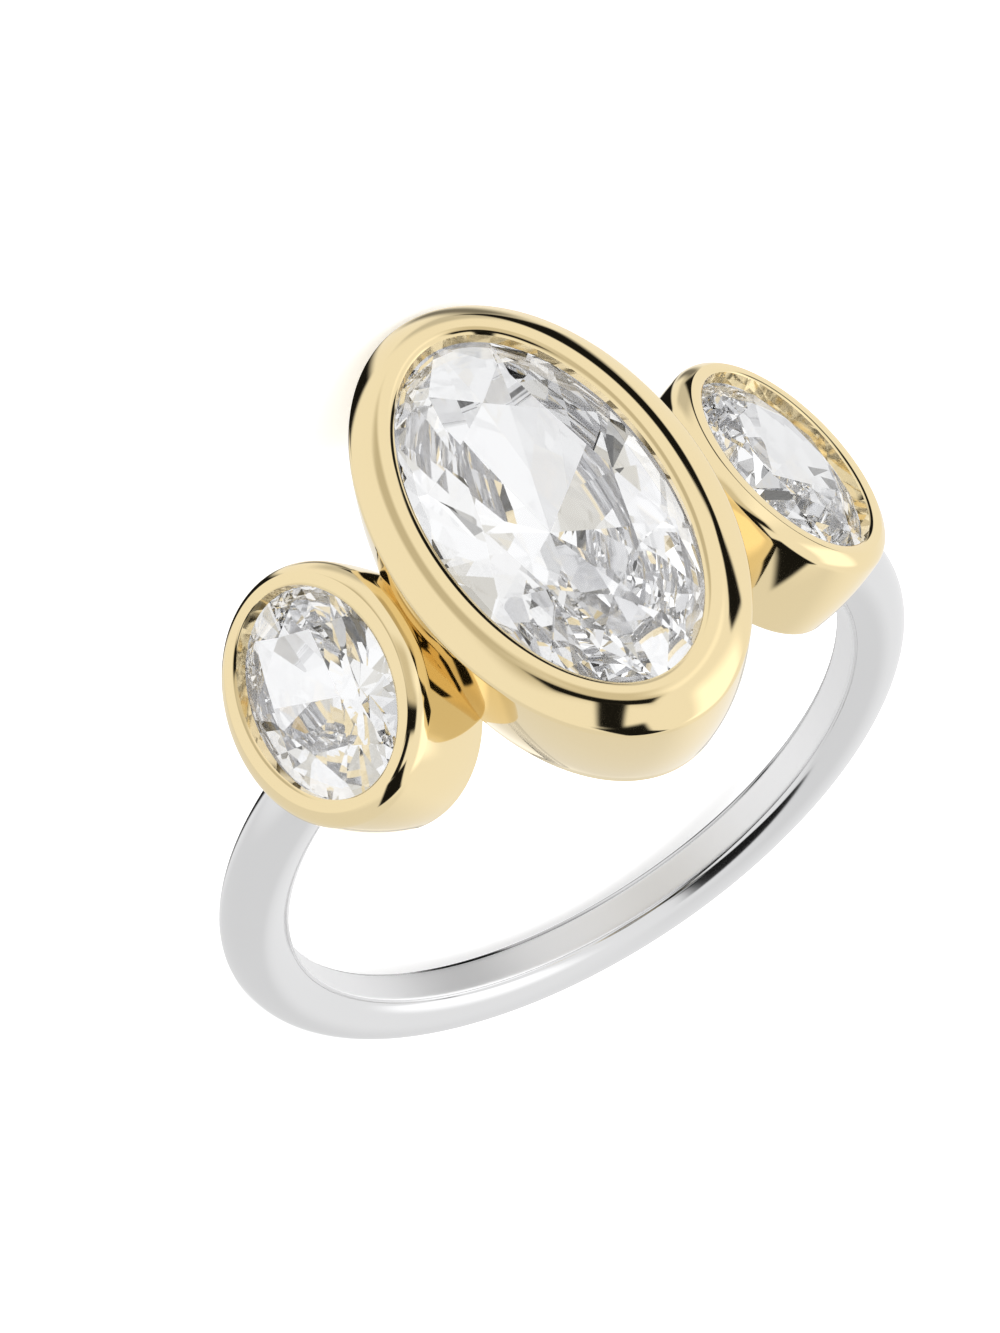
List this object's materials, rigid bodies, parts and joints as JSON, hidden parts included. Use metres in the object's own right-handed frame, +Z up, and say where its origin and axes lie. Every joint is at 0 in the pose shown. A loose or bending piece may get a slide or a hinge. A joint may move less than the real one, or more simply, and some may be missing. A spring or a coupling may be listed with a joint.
{
  "type": "three stone ring",
  "caption": "Finger ring with a slim half-round band and joined gold bezels that hold oval faceted clear stones lengthwise along the finger, the middle one much the largest.",
  "frame": {"origin": "on the ground plane, below the middle of the box of the ring lying on its side", "axes": "+Z up as the ring rests, -Y towards the head with the stones, +Y towards the back of the band; the finger axis lies in the YZ plane, 16 degrees from +Z"},
  "size_m": [0.0206, 0.0244, 0.0138],
  "materials": {
    "silver": "polished silver",
    "gold": "polished yellow gold plate",
    "stone": "faceted and polished, colourless"
  },
  "bodies": {
    "root": {"shank": "silver", "bezel_setting": "gold", "centre_stone": "stone", "left_stone": "stone", "right_stone": "stone"}
  },
  "joints": []
}
